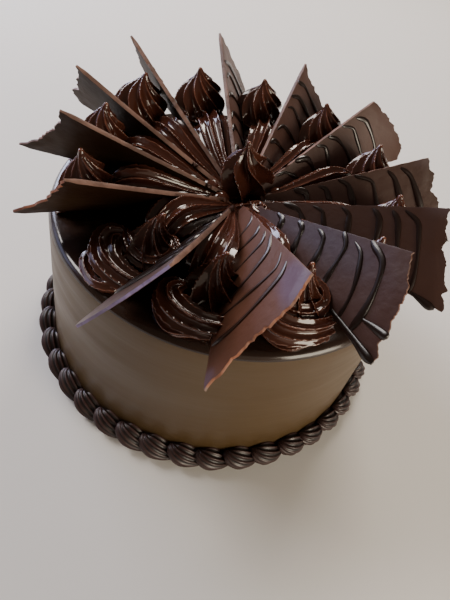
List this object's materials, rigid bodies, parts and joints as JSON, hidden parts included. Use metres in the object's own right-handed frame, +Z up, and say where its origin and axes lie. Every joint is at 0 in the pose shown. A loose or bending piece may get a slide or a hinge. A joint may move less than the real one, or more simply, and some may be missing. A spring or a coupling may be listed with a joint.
{
  "type": "layer cake",
  "caption": "Tall round iced cake with a piped shell border, piped swirls and a pinwheel of thin drizzled shards standing round a middle rosette.",
  "frame": {"origin": "middle of the cake's flat underside, on its axis", "axes": "+Z up along the cake's axis; -Y towards the side that the picture was taken from"},
  "size_m": [0.2614, 0.2646, 0.1692],
  "materials": {
    "cake_icing": "smooth satin chocolate icing",
    "border_icing": "satin piped dark chocolate icing",
    "piped_icing": "glossy piped dark chocolate ganache",
    "shard_chocolate": "satin set chocolate with glossy drizzle"
  },
  "bodies": {
    "root": {"cake": "cake_icing", "base_border": "border_icing", "centre_rosette": "piped_icing", "swirl_01": "piped_icing", "swirl_02": "piped_icing", "swirl_03": "piped_icing", "swirl_04": "piped_icing", "swirl_05": "piped_icing", "swirl_06": "piped_icing", "swirl_07": "piped_icing", "swirl_08": "piped_icing", "swirl_09": "piped_icing", "swirl_10": "piped_icing", "swirl_11": "piped_icing", "swirl_12": "piped_icing", "shard_01": "shard_chocolate", "shard_02": "shard_chocolate", "shard_03": "shard_chocolate", "shard_04": "shard_chocolate", "shard_05": "shard_chocolate", "shard_06": "shard_chocolate", "shard_07": "shard_chocolate", "shard_08": "shard_chocolate", "shard_09": "shard_chocolate", "shard_10": "shard_chocolate", "shard_11": "shard_chocolate", "shard_12": "shard_chocolate"}
  },
  "joints": []
}
